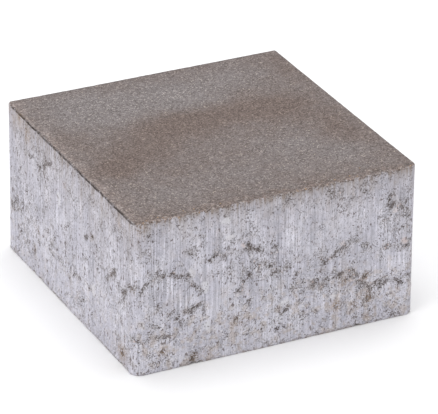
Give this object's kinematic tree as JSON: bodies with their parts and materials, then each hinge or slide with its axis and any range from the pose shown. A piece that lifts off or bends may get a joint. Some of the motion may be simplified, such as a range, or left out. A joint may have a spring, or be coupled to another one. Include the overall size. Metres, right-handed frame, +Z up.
{
  "type": "concrete paving stone",
  "caption": "Square unchamfered concrete paving stone with a fine-grained brown-grey wearing face and pale, drag-marked sides, for paths and drives.",
  "frame": {"origin": "centre of the bed face, on which the stone rests", "axes": "+Z up out of the wearing face; X and Y along the two pairs of sides"},
  "size_m": [0.15, 0.15, 0.08],
  "materials": {
    "concrete": "matt cast concrete, pale drag-marked sides and a brown-grey fine sand wearing face"
  },
  "bodies": {
    "root": {"paving_stone": "concrete"}
  },
  "joints": []
}
